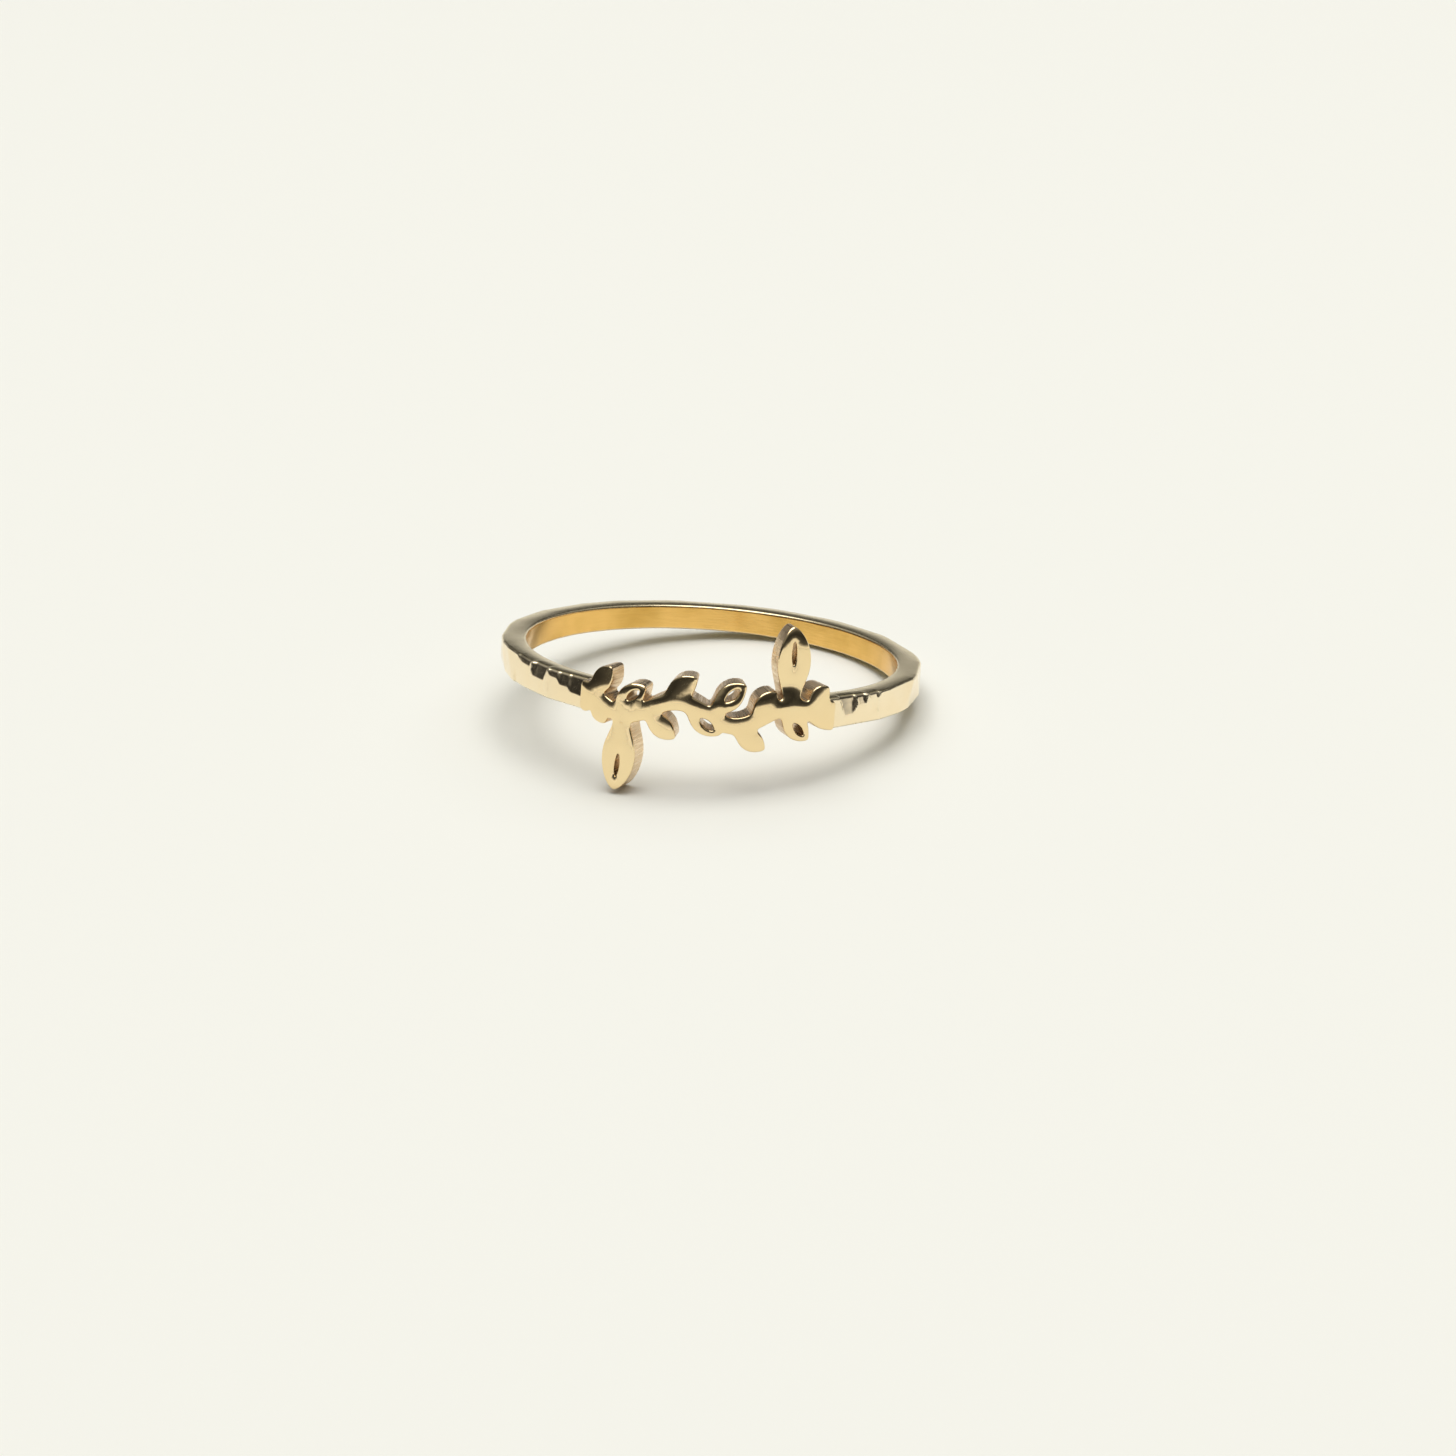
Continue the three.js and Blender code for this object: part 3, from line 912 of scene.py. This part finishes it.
    def hammered(
        self, n: Nodes, given: NodeOutputs, azimuth: Value, level: Value, height: Value
    ) -> NodeSocket:
        """Gives the hammered outside's radius: the nearest of the flats around, less the blows at the edges.

        Args:
            n: the band's tree.
            given: the tree's own inputs.
            azimuth: angle of the point from the front.
            level: height of the point along the finger.
            height: height of the band there.

        Returns:
            The socket with the radius.
        """
        flat_group, blow_group = self.flat_group(), self.blow_group()
        step = n.over(math.tau, given["Flats"])
        nearest = n.math("ROUND", n.over(azimuth, step))
        radius = given["Band Radius"]
        for offset in range(-2, 3):
            values = {"Azimuth": azimuth, "Height": level, "Item": n.plus(nearest, float(offset))}
            values |= {name: given[name] for name in ("Flats", "Band Radius", "Flat Depth", "Flat Lean")}
            flat = n.add("GeometryNodeGroup", values, node_tree=flat_group)
            radius = n.math("SMOOTH_MIN", radius, flat.outputs[0], given["Ridge Softness"])
        for blow in EDGE_BLOWS:
            values = {
                "Azimuth": azimuth, "Height": level, "Band Height": height, "Flat Depth": given["Flat Depth"],
                "Half Angle": n.times(given["Blow Half Angle"], blow.length),
                "Place": math.radians(blow.azimuth), "Slope": math.tan(math.radians(blow.lean)),
                "Starts": blow.starts,
            }
            struck = n.add("GeometryNodeGroup", values, node_tree=blow_group)
            radius = n.math("MINIMUM", radius, n.minus(given["Band Radius"], struck.outputs[0]))
        return radius

    def build(self, outside: Material, side: Material, bore: Material) -> Mesh:
        """Makes the band's mesh with its three finishes.

        Args:
            outside: finish of the outside.
            side: finish of the flat sides.
            bore: finish of the bore.

        Returns:
            The band's mesh.
        """
        s = self.sizes
        values = {
            "Bore Radius": s.bore_radius, "Band Radius": s.band_radius, "Front Height": s.height_front,
            "Back Height": s.height_back, "Open Angle": s.half_angle - s.end_overlap / s.plate_radius,
            "Edge Round": self.edge_round, "Section Step": self.section_step, "Steps": self.steps,
            "Flats": float(self.flats), "Flat Depth": self.flat_depth,
            "Flat Lean": math.radians(self.flat_lean), "Ridge Softness": self.ridge_softness,
            "Blow Half Angle": self.blow_length / 2 / s.band_radius, "Crown": self.crown,
            "Outside": outside, "Side": side, "Bore": bore,
        }
        return run_tree(bpy.data.meshes.new("band_start"), self.tree(), values)


# Where marks, tones and the painted highlight on convex edges start to show, and where they show in full.
MARK_RANGE = (0.35, 0.65)
TONE_RANGE = (0.35, 0.68)
EDGE_HIGHLIGHT_RANGE = (0.3, 0.75)
# How far the painted edge highlight's colour covers the gold's own tone, at most.
EDGE_HIGHLIGHT_SHARE = 0.6


def tool_marks_group(pose: RestPose, radius: float) -> NodeTree:
    """Builds the group for fine marks that follow the ring: round it, outwards from it or along the finger.

    Args:
        pose: how the ring lies, to find its own axes.
        radius: radius at which Round Scale is true, in millimetres.

    Returns:
        The shader group.
    """
    inputs = floats("Round Scale", "Outward Scale", "Along Scale", "Detail")
    n, given = new_group("Tool marks", inputs, floats("Height", "Mask"), "ShaderNodeTree")
    mapping = n.add("ShaderNodeMapping", {
        "Vector": n.add("ShaderNodeTexCoord").outputs["Object"], "Location": pose.centre(),
        "Rotation": Quaternion(pose.turn).to_euler(), "Scale": (MM, MM, MM),
    }, vector_type="TEXTURE")
    x, y, z = n.split(mapping.outputs[0])
    outwards = n.math("MAXIMUM", n.math("SQRT", n.level_dot((x, y), (x, y))), 1e-6)
    stretch = n.times(n.over(radius, outwards), given["Round Scale"])
    scales = (stretch, stretch, given["Along Scale"])
    where = n.combine(*(n.times(part, scale) for part, scale in zip((x, y, z), scales)))
    noise = n.add("ShaderNodeTexNoise", {
        "Vector": where, "W": n.times(outwards, given["Outward Scale"]), "Scale": 1.0,
        "Detail": given["Detail"], "Roughness": 0.6,
    }, noise_dimensions="4D")
    mask = n.remap(noise.outputs[0], *MARK_RANGE, 0.0, 1.0)
    n.add("NodeGroupOutput", {"Height": noise.outputs[0], "Mask": mask})
    return n.tree


def buffing_group() -> NodeTree:
    """Builds the group for what buffing leaves, soft waves and a change of tone, and for a painted highlight
    on convex edges.

    Returns:
        The shader group.
    """
    # Edge is the colour of the painted highlight on convex edges.
    inputs = {"Light": "Color", "Deep": "Color", "Edge": "Color", "Scale": "Float"}
    outputs = {"Color": "Color", "Height": "Float", "Edge Highlight Mask": "Float"}
    n, given = new_group("Buffing", inputs, outputs, "ShaderNodeTree")
    place = n.add("ShaderNodeTexCoord").outputs["Object"]
    waves = n.add("ShaderNodeTexNoise", {
        "Vector": place, "Scale": given["Scale"], "Detail": 1.5, "Roughness": 0.45,
    })
    patch = n.add("ShaderNodeTexNoise", {
        "Vector": place, "Scale": n.times(given["Scale"], 0.6), "Detail": 3.0, "Roughness": 0.6,
    })
    tone = n.add("ShaderNodeMix", {
        0: n.remap(patch.outputs[0], *TONE_RANGE, 0.0, 1.0), 6: given["Light"], 7: given["Deep"],
    }, data_type="RGBA")
    # Painted highlight: the gold's tone is paled towards the Edge colour where the ring's vertex mask marks a
    # convex edge.
    sharp = n.add("ShaderNodeAttribute", attribute_name="painted_edge_highlight").outputs["Fac"]
    edge = n.remap(sharp, *EDGE_HIGHLIGHT_RANGE, 0.0, 1.0)
    painted_edge_highlight = n.add("ShaderNodeMix", {
        0: n.times(edge, EDGE_HIGHLIGHT_SHARE), 6: tone.outputs[2], 7: given["Edge"],
    }, data_type="RGBA")
    n.add("NodeGroupOutput", {"Color": painted_edge_highlight.outputs[2], "Height": waves.outputs[0], "Edge Highlight Mask": edge})
    return n.tree


@dataclass(frozen=True)
class GoldFinish:
    """One way the gold is finished: its tones, gloss, and the marks of the tool, in millimetres."""

    name: str
    light: Triple
    deep: Triple
    roughness: tuple[float, float]
    marks: Triple
    mark_depth: float
    wave_depth: float
    wave_scale: float = 420.0
    # edge is the colour of the painted highlight on convex edges, and edge_roughness the extra roughness
    # there.
    edge: Triple = (0.97, 0.86, 0.62)
    edge_roughness: float = 0.1

    def material(self, marks: NodeTree, buffing: NodeTree) -> Material:
        """Builds the material.

        Args:
            marks: the group for tool marks.
            buffing: the group for buffed tone and waves.

        Returns:
            The material for this finish.
        """
        made = bpy.data.materials.new(self.name)
        made.use_nodes = True
        made.node_tree.nodes.clear()
        n = Nodes(made.node_tree)
        scales = dict(zip(("Round Scale", "Outward Scale", "Along Scale"), self.marks))
        tool = n.add("ShaderNodeGroup", scales | {"Detail": 2.0}, node_tree=marks)
        tones = {"Light": self.light, "Deep": self.deep, "Edge": self.edge}
        looks = {name: (*tone, 1.0) for name, tone in tones.items()} | {"Scale": self.wave_scale}
        buffed = n.add("ShaderNodeGroup", looks, node_tree=buffing)
        gloss = n.remap(tool.outputs["Mask"], 0.0, 1.0, *self.roughness)
        gloss = n.times_plus(buffed.outputs["Edge Highlight Mask"], self.edge_roughness, gloss)
        wave = n.add("ShaderNodeBump", {"Height": buffed.outputs["Height"], "Distance": self.wave_depth * MM})
        bump = n.add("ShaderNodeBump", {
            "Height": tool.outputs["Height"], "Distance": self.mark_depth * MM, "Normal": wave.outputs[0],
        })
        shader = n.add("ShaderNodeBsdfPrincipled", {
            "Base Color": buffed.outputs["Color"], "Roughness": gloss, "Normal": bump.outputs[0],
            "Metallic": 1.0,
        })
        n.add("ShaderNodeOutputMaterial", {0: shader.outputs[0]})
        return made


class Surface(Enum):
    """The ring's surfaces, each with its finish."""

    FACE = GoldFinish(
        "polished_face", (0.94, 0.75, 0.44), (0.92, 0.72, 0.41), (0.05, 0.10), (2.0, 6.0, 9.0), 0.0004, 0.035,
    )
    WALL = GoldFinish(
        "sawn_wall", (0.84, 0.65, 0.42), (0.62, 0.45, 0.27), (0.24, 0.42), (13.0, 0.5, 13.0), 0.018, 0.01,
    )
    OUTSIDE = GoldFinish(
        "hammered_outside", (0.98, 0.84, 0.60), (0.95, 0.79, 0.53), (0.10, 0.20), (3.0, 2.0, 5.0),
        0.0012, 0.03,
    )
    SIDE = GoldFinish(
        "satin_side", (0.78, 0.66, 0.40), (0.68, 0.56, 0.31), (0.16, 0.20), (4.0, 9.0, 3.0),
        0.00015, 0.035, 230.0,
    )
    BORE = GoldFinish(
        "bore", (0.88, 0.55, 0.17), (0.64, 0.38, 0.09), (0.12, 0.24), (1.0, 2.0, 14.0), 0.002, 0.03,
    )


@dataclass
class Ring:
    """The whole ring: band and openwork soldered as one piece, laid down as it rests."""

    sizes: Sizes = field(default_factory=Sizes)
    pose: RestPose = field(default_factory=RestPose)
    smooth_below: float = 36.0

    def build(self) -> Object:
        """Makes the ring, dresses it and gives it its place.

        Returns:
            The finished piece.
        """
        marks = tool_marks_group(self.pose, self.sizes.band_radius)
        buffing = buffing_group()
        gold = {surface: surface.value.material(marks, buffing) for surface in Surface}
        band = HammeredBand(self.sizes).build(gold[Surface.OUTSIDE], gold[Surface.SIDE], gold[Surface.BORE])
        front = Openwork(self.sizes).build(gold[Surface.FACE], gold[Surface.WALL])
        mesh = self.soldered(band, front)
        # Marks convex edges for the painted highlight.
        self.mark_edge_highlights(mesh)
        mesh.transform(self.pose.matrix())
        mesh.shade_smooth()
        mesh.set_sharp_from_angle(angle=math.radians(self.smooth_below))
        mesh.name = "gold_ring"
        piece = mesh_object("gold_ring", mesh)
        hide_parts("ring")
        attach(piece, "root")
        log.info("gold_ring: %d faces, %d vertices", len(mesh.polygons), len(mesh.vertices))
        return piece

    @staticmethod
    def soldered(band: Mesh, front: Mesh) -> Mesh:
        """Joins the two meshes into one closed skin.

        Args:
            band: the band's mesh.
            front: the openwork's mesh.

        Returns:
            The joined mesh.
        """
        body, tool = mesh_object("band", band), mesh_object("front", front)
        join = body.modifiers.new("solder", "BOOLEAN")
        join.operation, join.solver, join.object = "UNION", "MANIFOLD", tool
        join.material_mode = "TRANSFER"
        joined = applied_mesh(body)
        for obj in (body, tool):
            bpy.data.objects.remove(obj)
        return joined

    @staticmethod
    def mark_edge_highlights(mesh: Mesh) -> None:
        """Writes on each vertex how sharply the metal turns outwards there, as the mask of the painted
        highlight on convex edges.

        Args:
            mesh: the closed mesh to write on.
        """
        faces, edges = len(mesh.polygons), len(mesh.edges)
        normals, middles, ends = np.empty(faces * 3), np.empty(faces * 3), np.empty(edges * 2, int)
        mesh.polygons.foreach_get("normal", normals)
        mesh.polygons.foreach_get("center", middles)
        mesh.edges.foreach_get("vertices", ends)
        corners, sides = np.empty(faces, int), np.empty(len(mesh.loops), int)
        mesh.polygons.foreach_get("loop_total", corners)
        mesh.loops.foreach_get("edge_index", sides)
        normals, middles, ends = normals.reshape(-1, 3), middles.reshape(-1, 3), ends.reshape(-1, 2)
        beside = np.repeat(np.arange(faces), corners)[np.argsort(sides, kind="stable")].reshape(-1, 2)
        first, second = normals[beside[:, 0]], normals[beside[:, 1]]
        turn = np.arccos(np.clip((first * second).sum(1), -1, 1)) / (math.pi / 4)
        outwards = (first * (middles[beside[:, 1]] - middles[beside[:, 0]])).sum(1) < 0
        painted_edge_highlight = np.zeros(len(mesh.vertices))
        for end in ends.T:
            np.maximum.at(painted_edge_highlight, end, np.where(outwards, np.minimum(turn, 1), 0))
        count = np.bincount(ends.ravel(), minlength=len(painted_edge_highlight))
        around = sum(np.bincount(ends[:, a], painted_edge_highlight[ends[:, 1 - a]], len(painted_edge_highlight)) for a in (0, 1)) / count
        # This is the mask for the painted highlight on convex edges, averaged with its neighbours.
        mesh.attributes.new("painted_edge_highlight", "FLOAT", "POINT").data.foreach_set("value", (painted_edge_highlight + around) / 2)


@dataclass
class Studio:
    """A pale floor, soft light and the camera, at the picture's angle to the ring."""

    pose: RestPose
    picture_px: float = 1456.0
    px_per_mm: float = 21.457
    centre_px: tuple[float, float] = (710.9, 662.3)
    rise_deg: float = 13.9
    roll_deg: float = 4.39
    distance: float = 0.30
    sensor_mm: float = 36.0
    floor_half: float = 1.6
    floor_colour: Triple = (0.84, 0.845, 0.80)
    sky: tuple[tuple[float, float], ...] = (
        (0.0, 0.95), (0.5, 1.0), (0.515, 0.9), (0.54, 0.42), (0.565, 0.08), (0.66, 0.03), (0.74, 0.05),
        (0.82, 0.2), (1.0, 0.22),
    )
    sky_tint: Triple = (1.0, 0.985, 0.94)
    wall_light: float = 0.22
    wall_from: tuple[float, float] = (0.1, 0.7)
    wall_above: tuple[float, float] = (0.24, 0.5)
    lamp_colour: Triple = (1.0, 0.985, 0.95)

    def camera(self) -> None:
        """Places the camera by the ring's own axes, with the picture's framing."""
        front, up = self.pose.direction((0, -1, 0)), self.pose.direction((0, 0, 1))
        rise, roll = math.radians(self.rise_deg), math.radians(self.roll_deg)
        towards = front * math.cos(rise) + up * math.sin(rise)
        level = (-towards).cross(up).normalized()
        over = level.cross(-towards)
        right = level * math.cos(roll) + over * math.sin(roll)
        above = over * math.cos(roll) - level * math.sin(roll)
        lens = bpy.data.cameras.new("camera")
        lens.sensor_width = self.sensor_mm
        lens.lens = self.sensor_mm * self.distance / (self.picture_px / self.px_per_mm * MM)
        lens.shift_x = (self.picture_px / 2 - self.centre_px[0]) / self.picture_px
        lens.shift_y = (self.centre_px[1] - self.picture_px / 2) / self.picture_px
        lens.clip_start, lens.clip_end = 0.01, 20.0
        camera = bpy.data.objects.new("camera", lens)
        turned = Matrix((right, above, towards)).transposed().to_4x4()
        camera.matrix_world = Matrix.Translation(self.pose.centre() + towards * self.distance) @ turned
        bpy.context.scene.collection.objects.link(camera)
        bpy.context.scene.camera = camera

    def floor(self) -> None:
        """Lays the floor, a sheet of pale card."""
        half = self.floor_half
        mesh = bpy.data.meshes.new("floor")
        corners = [(-half, -half, 0), (half, -half, 0), (half, half, 0), (-half, half, 0)]
        mesh.from_pydata(corners, [], [(0, 1, 2, 3)])
        card = bpy.data.materials.new("pale_card")
        card.use_nodes = True
        shader = card.node_tree.nodes["Principled BSDF"]
        shader.inputs["Base Color"].default_value = (*self.floor_colour, 1.0)
        shader.inputs["Roughness"].default_value = 0.8
        shader.inputs["Specular IOR Level"].default_value = 0.2
        mesh.materials.append(card)
        mesh_object("floor", mesh)

    def world(self) -> None:
        """Lights the room: bright low down, dark above the horizon, paler overhead and behind the ring."""
        world = bpy.data.worlds.new("tent")
        world.use_nodes = True
        world.node_tree.nodes.clear()
        n = Nodes(world.node_tree)
        _, back, height = n.split(n.add("ShaderNodeTexCoord").outputs["Generated"])
        ramp = n.add("ShaderNodeValToRGB", {0: n.times_plus(height, 0.5, 0.5)})
        elements = ramp.color_ramp.elements
        while len(elements) < len(self.sky):
            elements.new(0.5)
        for element, (place, level) in zip(elements, self.sky):
            element.position = place
            element.color = (*(level * part for part in self.sky_tint), 1.0)
        high = n.remap(height, *self.wall_above, 0.0, self.wall_light)
        behind = n.times(n.remap(back, *self.wall_from, 0.0, 1.0), high)
        sky = n.add("ShaderNodeVectorMath", {
            0: ramp.outputs[0], 1: n.combine(behind, behind, behind),
        }, operation="ADD")
        background = n.add("ShaderNodeBackground", {"Color": sky.outputs[0], "Strength": 1.0})
        n.add("ShaderNodeOutputWorld", {0: background.outputs[0]})
        bpy.context.scene.world = world

    def lamp(self, name: str, place: Triple, size: float, power: float, seen: bool) -> None:
        """Hangs a square soft light that faces the ring.

        Args:
            name: its name.
            place: where it hangs, in metres.
            size: its side, in metres.
            power: its power in watts.
            seen: whether the gold mirrors it.
        """
        light = bpy.data.lights.new(name, "AREA")
        light.shape, light.size, light.energy = "SQUARE", size, power
        light.color = self.lamp_colour
        obj = bpy.data.objects.new(name, light)
        obj.location = place
        obj.rotation_euler = (self.pose.centre() - Vector(place)).to_track_quat("-Z", "Y").to_euler()
        obj.visible_glossy = seen
        obj.visible_camera = False
        bpy.context.scene.collection.objects.link(obj)

    def build(self) -> None:
        """Sets up the camera, floor and lights."""
        self.camera()
        self.floor()
        self.world()
        self.lamp("overhead", (0.05, 0.1, 0.9), size=2.0, power=6.9, seen=False)
        self.lamp("softbox", (0.0, 0.05, 0.9), size=0.8, power=5.8, seen=True)
        bpy.context.scene.view_settings.view_transform = "Standard"
        log.info("studio: camera, floor and lights")


def main() -> None:
    """Builds the ring and its studio."""
    logging.basicConfig(level=logging.INFO, format="%(name)s %(message)s")
    ring = Ring()
    ring.build()
    Studio(ring.pose).build()


if __name__ == "__main__":
    main()
